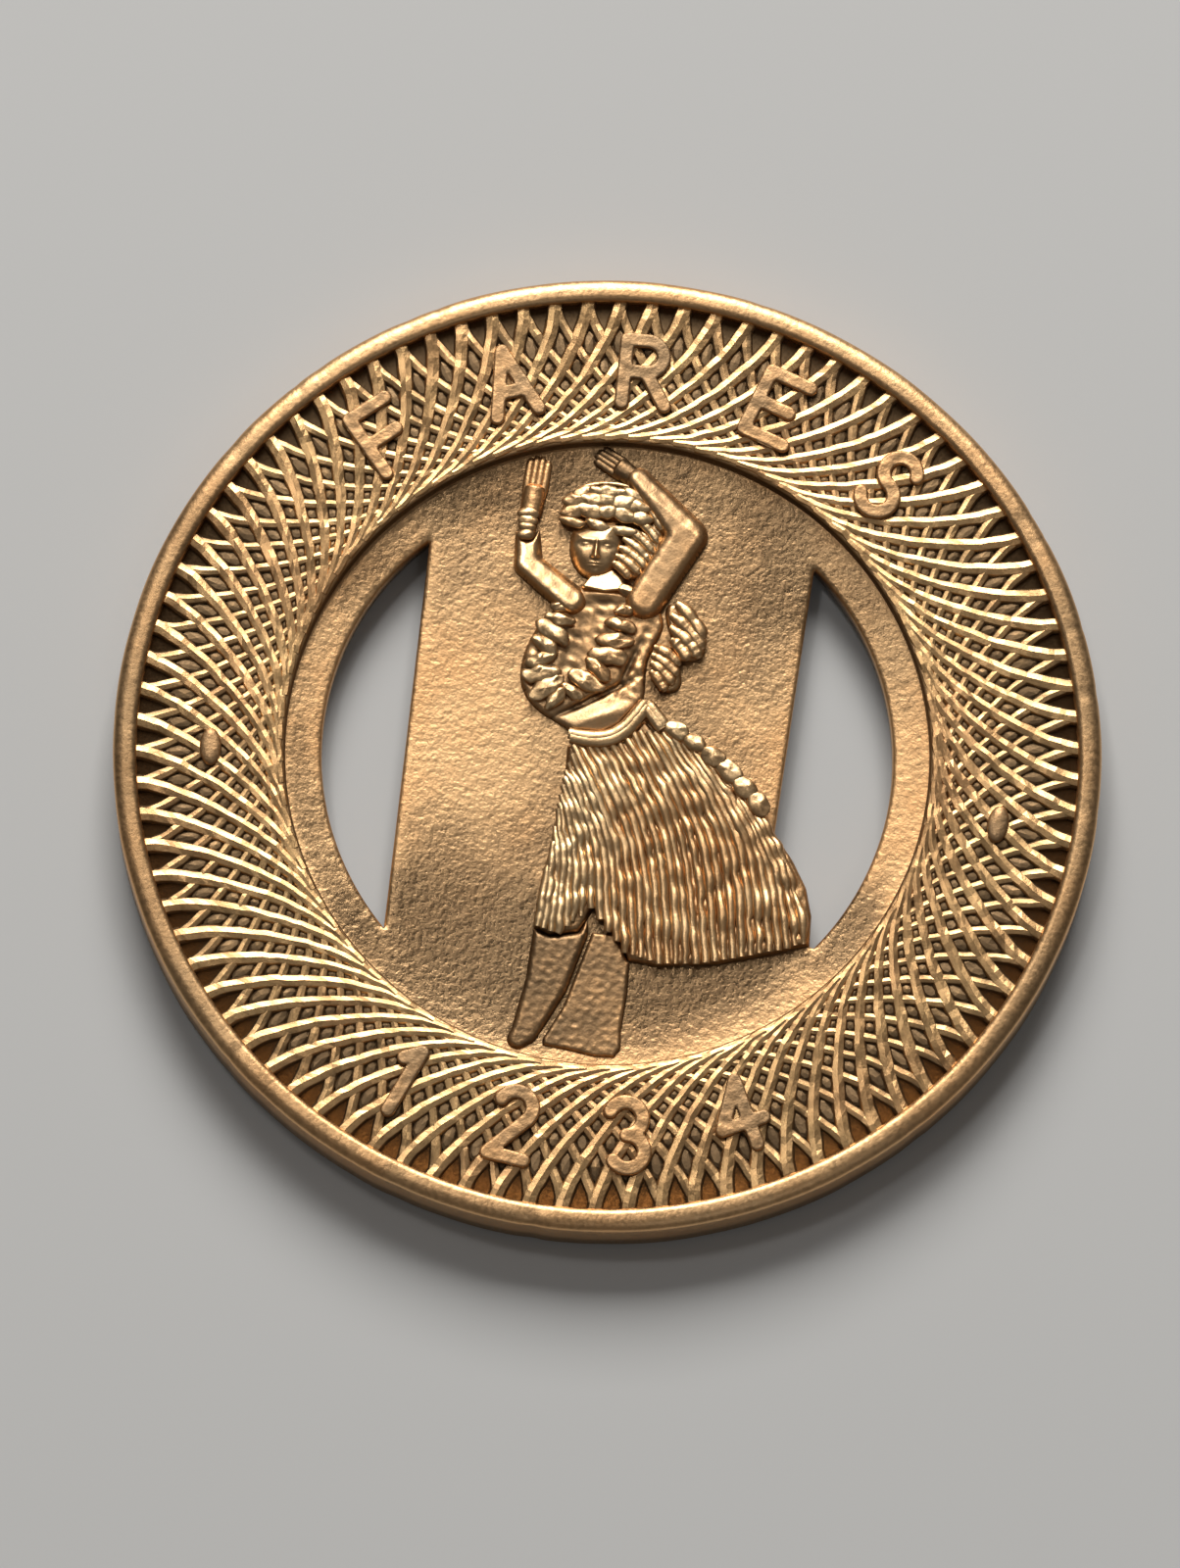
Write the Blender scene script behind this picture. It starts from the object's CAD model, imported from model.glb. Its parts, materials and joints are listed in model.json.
# %% [markdown]
# This lesson builds the looks of a brass fare token, 23 mm across, around its CAD frame.
# A real token is one piece of metal: a rim is rolled up round a blank, two dies press every detail into
# both faces, and a punch opens the two windows. Each region is rebuilt here as its own mesh, because a
# small clean mesh is easier to shape and to finish than one large one. The frame gives every place and size.

# %% Load the frame
import json
from math import cos, pi, radians, sin

import bmesh
import bpy
import numpy as np
from mathutils import Matrix, Vector
from mathutils.geometry import delaunay_2d_cdt

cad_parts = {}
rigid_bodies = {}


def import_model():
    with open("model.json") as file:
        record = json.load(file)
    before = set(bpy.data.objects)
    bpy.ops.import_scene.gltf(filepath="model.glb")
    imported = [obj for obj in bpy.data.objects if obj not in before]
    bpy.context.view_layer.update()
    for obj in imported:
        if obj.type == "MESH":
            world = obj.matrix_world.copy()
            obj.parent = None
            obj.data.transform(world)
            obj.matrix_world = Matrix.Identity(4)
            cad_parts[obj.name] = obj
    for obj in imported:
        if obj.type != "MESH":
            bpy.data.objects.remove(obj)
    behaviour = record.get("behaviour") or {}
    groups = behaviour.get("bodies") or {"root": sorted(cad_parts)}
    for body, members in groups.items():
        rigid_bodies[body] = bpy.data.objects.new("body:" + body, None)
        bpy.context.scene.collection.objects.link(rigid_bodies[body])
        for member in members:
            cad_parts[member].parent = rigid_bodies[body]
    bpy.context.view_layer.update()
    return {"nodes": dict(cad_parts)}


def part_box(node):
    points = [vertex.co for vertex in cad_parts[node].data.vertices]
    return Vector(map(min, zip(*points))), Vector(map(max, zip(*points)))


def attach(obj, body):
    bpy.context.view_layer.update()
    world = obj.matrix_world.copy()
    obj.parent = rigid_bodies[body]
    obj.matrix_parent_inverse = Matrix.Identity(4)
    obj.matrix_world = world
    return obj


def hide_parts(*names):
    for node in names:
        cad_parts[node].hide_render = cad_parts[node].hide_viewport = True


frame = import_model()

MM = 0.001
print("CAD nodes:", len(frame["nodes"]))

# %% [markdown]
# Every size below is read from the frame's own boxes and turned into millimetres, which are easier to
# think in at this scale. If the CAD changes, the looks follow it.

# %% Sizes from the frame
def box_mm(node):
    """Lowest and highest corner of a CAD node, in millimetres."""
    low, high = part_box(node)
    return low / MM, high / MM


outer_radius = box_mm("upset_rim")[1].x
rim_top = box_mm("upset_rim")[1].z
rim_inner = box_mm("ring_core")[1].x
ridge_foot = box_mm("ring_core")[1].z
back_ridge_foot = box_mm("ring_core")[0].z
ridge_top = box_mm("front_ridge_band")[1].z
field_radius = box_mm("field_ledge")[1].x
field_top = box_mm("field_ledge")[1].z
field_back = box_mm("field_ledge")[0].z
print("radii", round(outer_radius, 3), round(rim_inner, 3), round(field_radius, 3))
print("heights", [round(z, 3) for z in (rim_top, ridge_top, ridge_foot, field_top, field_back)])

# %% [markdown]
# The camera comes first, so that every later step can be judged through it. It has a long lens, stands a
# little in front of straight above, and sees the token turned a few degrees clockwise. The token could be
# turned instead, but a piece has to stay in the frame, so the camera is set out round it. Lengths are in
# millimetres, and the two aims are how far the middle of the view is from the token's.

# %% Camera
LENS = 202.5
SENSOR = 36.0
camera_distance = 204.7
camera_tilt = radians(15.5)
camera_side = radians(-3.5)
token_turn = radians(5.6)
aim_right = -0.414
aim_up = -0.851

table_to_token = Matrix.Rotation(token_turn, 3, "Z")
towards_camera = Vector(
    (
        sin(camera_side) * sin(camera_tilt),
        -cos(camera_side) * sin(camera_tilt),
        cos(camera_tilt),
    )
)
right = (-towards_camera).cross(Vector((0, 1, 0))).normalized()
up = right.cross(-towards_camera)
place = table_to_token @ (
    towards_camera * camera_distance + right * aim_right + up * aim_up
) + Vector((0, 0, rim_top))
axes = Matrix((table_to_token @ right, table_to_token @ up, table_to_token @ towards_camera))

camera_data = bpy.data.cameras.new("camera")
camera_data.lens = LENS
camera_data.sensor_width = SENSOR
camera_data.clip_start, camera_data.clip_end = 0.01, 5.0
camera = bpy.data.objects.new("camera", camera_data)
bpy.context.scene.collection.objects.link(camera)
camera.matrix_world = Matrix.Translation(place * MM) @ axes.transposed().to_4x4()
bpy.context.scene.camera = camera
print("camera at", [round(c, 1) for c in place], "mm")

# %% [markdown]
# The floor is a plain pale sheet. One large soft lamp stands beyond the top of the token, which is what
# makes every ridge that faces it flash and leaves the others brown. An even light from all round would
# hide the relief, so the two other lamps and the room are weak and only keep the shadows open.

# %% Floor and light
def link(name, data):
    """Put new data in the scene under a name."""
    made = bpy.data.objects.new(name, data)
    bpy.context.scene.collection.objects.link(made)
    return made


floor_mesh = bpy.data.meshes.new("floor")
floor_half = 1.5
floor_gap = 0.00001
floor_mesh.from_pydata(
    [(x * floor_half, y * floor_half, -floor_gap) for x, y in ((-1, -1), (1, -1), (1, 1), (-1, 1))],
    [],
    [(0, 1, 2, 3)],
)
floor = link("floor", floor_mesh)
paper = bpy.data.materials.new("pale_paper")
paper.use_nodes = True
paper_shader = paper.node_tree.nodes["Principled BSDF"]
paper_shader.inputs["Base Color"].default_value = (0.62, 0.63, 0.64, 1)
paper_shader.inputs["Roughness"].default_value = 0.85
floor_mesh.materials.append(paper)


def soft_lamp(name, bearing, elevation, distance, size, watts, colour=(1, 1, 1)):
    """A square lamp aimed at the token. Bearing is in degrees from +Y towards +X."""
    b, e = radians(bearing), radians(elevation)
    spot = Vector((sin(b) * cos(e), cos(b) * cos(e), sin(e))) * distance
    data = bpy.data.lights.new(name, "AREA")
    data.size = size
    data.energy = watts
    data.color = colour
    lamp = link(name, data)
    lamp.location = spot
    lamp.rotation_euler = spot.to_track_quat("Z", "Y").to_euler()
    return lamp


soft_lamp("key_lamp", -6, 40, 0.40, 0.22, 1.6, (1.0, 0.97, 0.92))
soft_lamp("top_lamp", -50, 72, 0.45, 0.05, 0.12, (1.0, 0.98, 0.95))
soft_lamp("front_lamp", 150, 60, 0.40, 0.10, 0.03, (0.92, 0.96, 1.0))
bpy.context.scene.view_settings.view_transform = "Standard"

world = bpy.data.worlds.new("soft_room")
world.use_nodes = True
world.node_tree.nodes["Background"].inputs["Color"].default_value = (1.0, 0.93, 0.85, 1)
world.node_tree.nodes["Background"].inputs["Strength"].default_value = 0.10
bpy.context.scene.world = world

# %% [markdown]
# Struck brass is one metal with many finishes. Tops that hands rub stay bright and yellow, and the low
# places keep a brown tone. One recipe makes them all. It reads how high a point stands, a value called
# crest that each mesh carries for its own hollows and tops, and three sizes of noise: grains, an orange
# peel and wide patches. The wear could be painted on, but noise in the object's own space needs no
# unwrapping and never runs out of detail.

# %% Brass recipe
BRIGHT_BRASS = (0.86, 0.54, 0.27, 1)
WARM_BRASS = (0.74, 0.43, 0.20, 1)
BROWN_TONE = (0.20, 0.13, 0.07, 1)
PATCH_SIZE = 2.4


def brass(
    name, low, high, bright=BRIGHT_BRASS, polish=0.24, matt=0.46, crest_share=0.6,
    grain=0.06, grain_depth=0.006, peel=0.30, peel_depth=0.0,
):
    """A brass that is brown below the height low and bright above high, in millimetres.

    Polish and matt are the roughness of the bright and the brown metal. Crest_share is how much the
    mesh's crest counts. Grain and peel are the sizes of two kinds of unevenness, each with its depth.
    """
    finish = bpy.data.materials.new(name)
    finish.use_nodes = True
    nodes, links = finish.node_tree.nodes, finish.node_tree.links
    shader = nodes["Principled BSDF"]
    shader.inputs["Metallic"].default_value = 1.0
    spot = nodes.new("ShaderNodeTexCoord").outputs["Object"]

    def noise(size, detail, roughness=0.55):
        made = nodes.new("ShaderNodeTexNoise")
        made.inputs["Scale"].default_value = 1 / (size * MM)
        made.inputs["Detail"].default_value = detail
        made.inputs["Roughness"].default_value = roughness
        links.new(spot, made.inputs["Vector"])
        return made.outputs["Fac"]

    def span(value, start, end, to_start=0.0, to_end=1.0, smooth=True):
        made = nodes.new("ShaderNodeMapRange")
        made.interpolation_type = "SMOOTHSTEP" if smooth else "LINEAR"
        for socket, number in zip(made.inputs[1:5], (start, end, to_start, to_end)):
            socket.default_value = number
        links.new(value, made.inputs[0])
        return made.outputs[0]

    def maths(operation, first, second):
        made = nodes.new("ShaderNodeMath")
        made.operation = operation
        for socket, value in zip(made.inputs, (first, second)):
            if isinstance(value, (int, float)):
                socket.default_value = value
            else:
                links.new(value, socket)
        return made.outputs[0]

    def mixed(factor, first, second):
        made = nodes.new("ShaderNodeMix")
        made.data_type = "RGBA"
        links.new(factor, made.inputs["Factor"])
        for socket, value in ((made.inputs[6], first), (made.inputs[7], second)):
            if isinstance(value, tuple):
                socket.default_value = value
            else:
                links.new(value, socket)
        return made.outputs[2]

    apart = nodes.new("ShaderNodeSeparateXYZ")
    links.new(spot, apart.inputs[0])
    height = span(apart.outputs["Z"], low * MM, high * MM)
    crest_node = nodes.new("ShaderNodeAttribute")
    crest_node.attribute_name = "crest"
    crest = span(crest_node.outputs["Fac"], 0.25, 0.65, 1 - crest_share, 1.0)
    grains = noise(grain, 3)
    patches = noise(PATCH_SIZE, 4, 0.6)
    rubbed = maths("MULTIPLY", height, crest)
    rubbed = maths("MULTIPLY", rubbed, span(patches, 0.30, 0.62, 0.80, 1.0))
    rubbed = maths("MULTIPLY", rubbed, span(grains, 0.28, 0.55, 0.86, 1.0))
    metal = mixed(span(patches, 0.35, 0.7), bright, WARM_BRASS)
    links.new(mixed(rubbed, BROWN_TONE, metal), shader.inputs["Base Color"])
    rough = maths("ADD", span(rubbed, 0.0, 1.0, matt, polish, False), span(grains, 0.3, 0.7, -0.05, 0.07))
    links.new(rough, shader.inputs["Roughness"])

    surface = None
    for amount, value in ((grain_depth, grains), (peel_depth, noise(peel, 2, 0.4) if peel_depth else None)):
        if amount and value is not None:
            bump = nodes.new("ShaderNodeBump")
            bump.inputs["Strength"].default_value = 1.0
            bump.inputs["Distance"].default_value = amount * MM
            links.new(value, bump.inputs["Height"])
            if surface is not None:
                links.new(surface, bump.inputs["Normal"])
            surface = bump.outputs["Normal"]
    if surface is not None:
        links.new(surface, shader.inputs["Normal"])
    return finish


print("brass colours", BRIGHT_BRASS[:3], WARM_BRASS[:3], BROWN_TONE[:3])

# %% [markdown]
# Each region wears in its own way. The rim and the figure are rubbed most. The ridges are bright only
# along their tops, so their brown starts a little above the bed. The field is smooth enough to show
# patches, and the legend and the cloth are pressed flat and matt. One finish for all would be simpler,
# but it would lose the contrast that lets a small relief be read.

# %% Finishes
rim_finish = brass(
    "rim_brass", -0.6, 0.6, polish=0.36, crest_share=0.75, grain=0.10, grain_depth=0.008, peel=0.35,
    peel_depth=0.014,
)
bed_finish = brass("ring_bed_brass", ridge_foot, ridge_foot + 0.10, polish=0.34, matt=0.5, crest_share=0.2)
ridge_finish = brass(
    "ridge_brass", ridge_foot + 0.03, ridge_foot + 0.105, bright=(0.88, 0.56, 0.26, 1), polish=0.34, matt=0.5,
    crest_share=0.1, grain=0.05, grain_depth=0.004,
)
back_ridge_finish = brass(
    "back_ridge_brass", back_ridge_foot + 0.03, back_ridge_foot - 0.06, crest_share=0.1, grain=0.05
)
field_finish = brass(
    "field_brass", 0.0, 0.3, polish=0.46, matt=0.27, crest_share=0.85, grain=0.09, grain_depth=0.014,
    peel=0.20, peel_depth=0.018,
)
legend_finish = brass(
    "legend_brass", ridge_foot, ridge_top + 0.02, bright=(0.42, 0.275, 0.15, 1), polish=0.46, matt=0.6,
    grain=0.07, grain_depth=0.010, peel=0.2, peel_depth=0.02,
)
figure_finish = brass(
    "figure_brass", field_top - 0.05, field_top + 0.16, bright=(0.97, 0.68, 0.37, 1), polish=0.33,
    crest_share=0.8, grain=0.05, grain_depth=0.005,
)
torso_finish = brass(
    "torso_brass", field_top - 0.1, field_top + 0.16, bright=(0.66, 0.42, 0.22, 1), polish=0.38, matt=0.5,
    crest_share=0.85,
)
cloth_finish = brass(
    "cloth_brass", field_top - 0.1, field_top + 0.14, bright=(0.25, 0.155, 0.08, 1), polish=0.40, matt=0.5,
    crest_share=0.8, peel=0.16, peel_depth=0.014,
)
print("finishes", len(bpy.data.materials))

# %% [markdown]
# A finished piece does four things: it sits at the origin, rides on the token's one body, stands in for
# the CAD nodes that it replaces, and names the slot of the record that its metal comes from. Before that,
# every vertex gets its crest: how far it stands above the average of its neighbours, with 0.5 for level.
# Two small landscapes, a hump and a ripple, shape the pieces and tone them.

# %% Helpers for finished pieces
def weld(mesh, reach=0.0002):
    """Merge doubled points and turn the faces of closed shells outwards."""
    shape = bmesh.new()
    shape.from_mesh(mesh)
    bmesh.ops.remove_doubles(shape, verts=shape.verts, dist=reach * MM)
    bmesh.ops.recalc_face_normals(shape, faces=shape.faces)
    shape.to_mesh(mesh)
    shape.free()


def add_crest(mesh, sharpness=14.0, rounds=10, side=1, tone=None):
    """Store how far each point stands above its neighbours' average, times a tone of the place."""
    count = len(mesh.vertices)
    places = np.empty(count * 3)
    mesh.vertices.foreach_get("co", places)
    height = places[2::3] / MM * side
    ends = np.empty(len(mesh.edges) * 2, int)
    mesh.edges.foreach_get("vertices", ends)
    a, b = ends[0::2], ends[1::2]
    near = np.bincount(a, minlength=count) + np.bincount(b, minlength=count)
    level = height.copy()
    for _ in range(rounds):
        total = np.bincount(a, level[b], count) + np.bincount(b, level[a], count)
        level = 0.5 * level + 0.5 * total / np.maximum(near, 1)
    crest = np.clip(0.5 + (height - level) * sharpness, 0, 1)
    if tone is not None:
        crest = crest * tone(places[0::3] / MM, places[1::3] / MM)
    held = mesh.attributes.new("crest", "FLOAT", "POINT")
    held.data.foreach_set("value", crest.astype(np.float32))


def finish_piece(piece, stands_for, finish=None, smooth=True, side=1, sharpness=14.0, tone=None):
    """Give a mesh its crest, finish and place in the frame."""
    if finish is not None:
        piece.data.materials.clear()
        piece.data.materials.append(finish)
    if smooth is not None:
        piece.data.polygons.foreach_set("use_smooth", [smooth] * len(piece.data.polygons))
    add_crest(piece.data, side=side, sharpness=sharpness, tone=tone)
    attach(piece, "root")
    if stands_for:
        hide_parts(*stands_for)
    triangles = sum(len(p.vertices) - 2 for p in piece.data.polygons)
    print(f"{piece.name}: {triangles} triangles")
    return piece


def hump(x, y, centre, size, turn=0.0):
    """A soft round hill, 1 at its centre."""
    c, s = cos(radians(turn)), sin(radians(turn))
    u, v = x - centre[0], y - centre[1]
    return np.exp(-(((u * c + v * s) / size[0]) ** 2) - ((v * c - u * s) / size[1]) ** 2)


def ripple(x, y, size, seed):
    """A soft random landscape of about one unit, the same every run."""
    chance = np.random.default_rng(seed)
    total = 0
    for _ in range(14):
        angle, phase = chance.uniform(0, 2 * pi, 2)
        pace = 2 * pi / (size * chance.uniform(0.7, 1.6))
        total = total + np.sin(pace * (x * cos(angle) + y * sin(angle)) + phase)
    return total / 5


def mesh_piece(name, points, faces):
    """A mesh object from points in millimetres."""
    mesh = bpy.data.meshes.new(name)
    mesh.from_pydata((np.asarray(points, float) * MM).tolist(), [], faces)
    return link(name, mesh)


print("a hump at its centre and one size out:", [round(float(hump(x, 0, (0, 0), (1, 1))), 2) for x in (0, 1)])

# %% [markdown]
# The rim is the same all the way round, so it is a lathe job: one outline of the cross-section turned
# about the token's axis. A real rim is not perfect, so its crest wanders by about a hundredth of a
# millimetre and has a few shallow dents. The wander only takes metal away, which keeps it in its box.

# %% Rim
def turned(name, outline, steps=720, wander=None):
    """Turn a closed outline of (radius, height) about Z. Wander moves each ring point a little."""
    outline = np.asarray(outline, float)
    angle = np.arange(steps) * 2 * pi / steps
    radius = np.repeat(outline[None, :, 0], steps, 0)
    height = np.repeat(outline[None, :, 1], steps, 0)
    if wander is not None:
        radius, height = wander(angle[:, None], radius, height)
    x, y = radius * np.sin(angle)[:, None], radius * np.cos(angle)[:, None]
    points = np.stack([x, y, height], -1).reshape(-1, 3)
    n = len(outline)
    faces = [
        (i * n + j, i * n + (j + 1) % n, (i + 1) % steps * n + (j + 1) % n, (i + 1) % steps * n + j)
        for i in range(steps)
        for j in range(n)
    ]
    piece = mesh_piece(name, points, faces)
    weld(piece.data)
    return piece


def corner(centre, size, start, end, steps=6):
    """Points of a quarter-round corner, angles in degrees."""
    return [
        (centre[0] + size[0] * cos(radians(a)), centre[1] + size[1] * sin(radians(a)))
        for a in np.linspace(start, end, steps)
    ]


crest_radius = rim_inner + 0.20
outer_round = (0.30, 0.20)
inner_round = (0.16, 0.13)
outer_centre = outer_radius - outer_round[0]
inner_centre = rim_inner + inner_round[0]
rim_outline = (
    corner((outer_centre, outer_round[1]), outer_round, -90, 0, 8)
    + corner((outer_centre, rim_top - outer_round[1]), outer_round, 0, 90, 12)
    + corner((inner_centre, rim_top - inner_round[1]), inner_round, 90, 180, 8)
    + [(rim_inner, ridge_foot), (rim_inner - 0.02, ridge_foot - 0.10)]
    + [(rim_inner - 0.02, back_ridge_foot + 0.10), (rim_inner, back_ridge_foot)]
    + corner((inner_centre, inner_round[1]), inner_round, 180, 270, 8)
)


def worn_rim(angle, radius, height):
    """A slow wander of the crest and a few soft dents."""
    chance = np.random.default_rng(7)
    waves = (3, 5, 8, 13, 21, 34)
    drift = sum(chance.uniform(0.3, 1.0) * np.sin(k * angle + chance.uniform(0, 2 * pi)) for k in waves)
    drift = (drift - drift.max()) * 0.004
    dents = 0
    for _ in range(26):
        gap = (angle - chance.uniform(0, 2 * pi) + pi) % (2 * pi) - pi
        dents = dents - chance.uniform(0.004, 0.016) * np.exp(-((gap / chance.uniform(0.006, 0.03)) ** 2))
    worn = drift + dents
    top = np.clip((height - rim_top / 2) / (rim_top / 2), -1, 1)
    return radius + worn * (radius > crest_radius), height + worn * np.sign(top) * top**4


def rim_tone(x, y):
    """Bright at the top and the bottom of the token, and duller at its two sides."""
    return 1.20 - 0.55 * (x / outer_radius) ** 2 + 0.08 * ripple(x, y, 2.2, 17)


rim = turned("rolled_rim", rim_outline, wander=worn_rim)
finish_piece(rim, ["upset_rim"], rim_finish, tone=rim_tone)

# %% [markdown]
# Under the ridges lies the bed of the ring, the plain face that the die leaves between them. It is turned
# like the rim, because it too is the same all the way round. Its inner edge has a small rounded lip, and
# below the lip a wall drops to the field. That step throws the thin dark line round the field.

# %% Ring bed
lip_width = 0.10
lip_height = 0.08
bed_inner = field_radius
bed_outline = [
    (rim_inner + 0.05, ridge_foot - 0.05),
    (bed_inner + lip_width * 2.4, ridge_foot + 0.02),
    *corner((bed_inner + lip_width, ridge_foot - 0.01), (lip_width, lip_height), 20, 180, 9),
    (bed_inner - 0.01, field_top + 0.06),
    (bed_inner, field_top - 0.05),
    (bed_inner, field_back + 0.05),
    *corner((bed_inner + lip_width, back_ridge_foot), (lip_width, lip_height), 180, 300, 7),
    (bed_inner + lip_width * 1.6, back_ridge_foot),
    (rim_inner + 0.05, back_ridge_foot),
]
bed = turned("ring_bed", bed_outline)
finish_piece(bed, ["ring_core"], bed_finish)

# %% [markdown]
# Three things on the token repeat a small shape many times: the ridges, the strands of hair and leaf, and
# the petals. Python could copy the meshes, but a node tree keeps each recipe in one place, with its sizes
# as named inputs. Node trees are wordy to write, so this class adds a node, joins its inputs and hands
# back its output. It also runs a tree on a piece and keeps the plain mesh.

# %% Geometry Nodes helpers
class Recipe:
    """A Geometry Nodes tree with named inputs."""

    KINDS = {"float": "NodeSocketFloat", "int": "NodeSocketInt", "material": "NodeSocketMaterial"}

    def __init__(self, name, takes_shape=False, **inputs):
        self.tree = bpy.data.node_groups.new(name, "GeometryNodeTree")
        if takes_shape:
            self.tree.interface.new_socket("Shape", in_out="INPUT", socket_type="NodeSocketGeometry")
        self.ids = {}
        for label, kind in inputs.items():
            socket = self.tree.interface.new_socket(label, in_out="INPUT", socket_type=self.KINDS[kind])
            self.ids[label] = socket.identifier
        self.tree.interface.new_socket("Shape", in_out="OUTPUT", socket_type="NodeSocketGeometry")
        self.given = self.tree.nodes.new("NodeGroupInput").outputs
        self.result = self.tree.nodes.new("NodeGroupOutput").inputs[0]

    def put(self, socket, value):
        if isinstance(value, bpy.types.NodeSocket):
            self.tree.links.new(value, socket)
        else:
            socket.default_value = value

    def node(self, kind, inputs=(), **settings):
        made = self.tree.nodes.new(kind)
        for key, value in settings.items():
            setattr(made, key, value)
        for key, value in dict(inputs).items():
            self.put(made.inputs[key], value)
        return made

    def maths(self, operation, *values):
        made = self.node("ShaderNodeMath", operation=operation)
        for socket, value in zip(made.inputs, values):
            self.put(socket, value)
        return made.outputs[0]

    def plus(self, first, second):
        return self.maths("ADD", first, second)

    def minus(self, first, second):
        return self.maths("SUBTRACT", first, second)

    def times(self, first, second):
        return self.maths("MULTIPLY", first, second)

    def vector(self, x=0.0, y=0.0, z=0.0):
        return self.node("ShaderNodeCombineXYZ", {0: x, 1: y, 2: z}).outputs[0]

    def circle(self, points, wide, high):
        """A round or oval section to sweep along a line."""
        inputs = {"Resolution": points, "Radius": 1.0}
        made = self.node("GeometryNodeCurvePrimitiveCircle", inputs, mode="RADIUS").outputs[0]
        size = self.vector(wide, high, 1.0)
        return self.node("GeometryNodeTransform", {"Geometry": made, "Scale": size}).outputs[0]

    def sweep(self, line, section, scale):
        """A closed tube of a section along a line that keeps the section upright."""
        line = self.node("GeometryNodeSetCurveNormal", {"Curve": line}, mode="Z_UP").outputs[0]
        inputs = {"Curve": line, "Profile Curve": section, "Scale": scale, "Fill Caps": True}
        return self.node("GeometryNodeCurveToMesh", inputs).outputs[0]

    def moved(self, shape, noise, amount):
        """Move every point of a shape by a noise colour, evenly to both sides."""
        even = self.node("ShaderNodeVectorMath", {0: noise, 1: (0.5, 0.5, 0.5)}, operation="SUBTRACT")
        step = self.node("ShaderNodeVectorMath", {0: even.outputs[0], "Scale": amount}, operation="SCALE")
        return self.node("GeometryNodeSetPosition", {"Geometry": shape, "Offset": step.outputs[0]}).outputs[0]

    def uneven(self, shape, size, amount):
        """Make the instances real and move their points by noise of a size in millimetres."""
        real = self.node("GeometryNodeRealizeInstances", {0: shape}).outputs[0]
        noise = self.node("ShaderNodeTexNoise", {"Scale": 1 / (size * MM), "Detail": 1.0}).outputs["Color"]
        return self.moved(real, noise, amount)

    def end(self, shape):
        """Make the instances real and give them their finish."""
        real = self.node("GeometryNodeRealizeInstances", {0: shape}).outputs[0]
        done = self.node("GeometryNodeSetMaterial", {"Geometry": real, "Material": self.given["Finish"]})
        self.put(self.result, done.outputs[0])

    def make(self, piece, **values):
        """Run the tree on a piece and keep the result as its plain mesh."""
        modifier = piece.modifiers.new("recipe", "NODES")
        modifier.node_group = self.tree
        for label, value in values.items():
            modifier[self.ids[label]] = value
        ready = piece.evaluated_get(bpy.context.evaluated_depsgraph_get())
        mesh = bpy.data.meshes.new_from_object(ready)
        piece.modifiers.clear()
        made = link(piece.name + "_made", mesh)
        name = piece.name
        bpy.data.objects.remove(piece)
        made.name = mesh.name = name
        return made


print("kinds of input:", ", ".join(Recipe.KINDS))

# %% [markdown]
# The ridges are two families of ninety ribs that cross. Each leaves the rim straight inwards and bends
# until it runs along the inner edge; its twin bends the other way. A die cutter makes them with a
# ruling engine that repeats one cut ninety times, and a node tree does just that: one rib is swept along
# its line and copied round the ring. The second family is cut a little lower and narrower, so the first
# one stands out as long clear sweeps. Flat shading keeps the rib's facets crisp, as a cut leaves them.

# %% Ridge recipe
ridges = Recipe(
    "crossed_ridges",
    Ribs="int", Rim_radius="float", Inner_radius="float", Sweep="float", Half_width="float", Height="float",
    Foot="float", Lift="float", Inner_share="float", Second_share="float", Pebble="float", Rows="int",
    Wander="float", Finish="material",
)
g = ridges.given
line = ridges.node("GeometryNodeCurvePrimitiveLine", {"End": (1, 0, 0)})
line = ridges.node("GeometryNodeResampleCurve", {"Curve": line.outputs[0], "Count": 30}).outputs[0]
along = ridges.node("GeometryNodeSplineParameter").outputs["Factor"]
quarter = ridges.times(along, pi / 2)
inward = ridges.maths("POWER", ridges.maths("SINE", quarter), 4 / 3)
run = ridges.minus(g["Rim_radius"], g["Inner_radius"])
radius = ridges.minus(g["Rim_radius"], ridges.times(run, inward))
turn = ridges.times(g["Sweep"], ridges.minus(1.0, ridges.maths("COSINE", quarter)))
level = ridges.plus(g["Foot"], ridges.times(g["Lift"], along))
share = ridges.minus(1.0, ridges.times(ridges.minus(1.0, g["Inner_share"]), along))
section = ridges.circle(8, g["Half_width"], g["Height"])
both = ridges.node("GeometryNodeJoinGeometry")
for side, size in ((1, ridges.times(share, g["Second_share"])), (-1, share)):
    x = ridges.times(ridges.times(radius, ridges.maths("SINE", turn)), side)
    y = ridges.times(radius, ridges.maths("COSINE", turn))
    bent = {"Geometry": line, "Position": ridges.vector(x, y, level)}
    rib = ridges.sweep(ridges.node("GeometryNodeSetPosition", bent).outputs[0], section, size)
    rib = ridges.node("GeometryNodeSetShadeSmooth", {0: rib, "Shade Smooth": False}).outputs[0]
    ridges.put(both.inputs[0], rib)
spots = ridges.node("GeometryNodePoints", {"Count": g["Ribs"]}).outputs[0]
index = ridges.node("GeometryNodeInputIndex").outputs[0]
step = ridges.maths("DIVIDE", 2 * pi, g["Ribs"])
copies = ridges.node(
    "GeometryNodeInstanceOnPoints",
    {"Points": spots, "Instance": both.outputs[0], "Rotation": ridges.vector(z=ridges.times(index, step))},
)
print("ridge recipe:", len(ridges.tree.nodes), "nodes so far")

# %% [markdown]
# Where the ribs cross they leave small diamonds, and on a struck piece the metal rises a little in each.
# The diamonds could be modelled by cutting ribs from a plate, but a low pebble in each looks the same and
# is far lighter. Rows of pebbles are set at the radii of the crossings, half a step round, and each is as
# large as its own diamond allows.

# %% Pebbles between the ribs
PEBBLE_HEIGHT = 0.36

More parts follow.
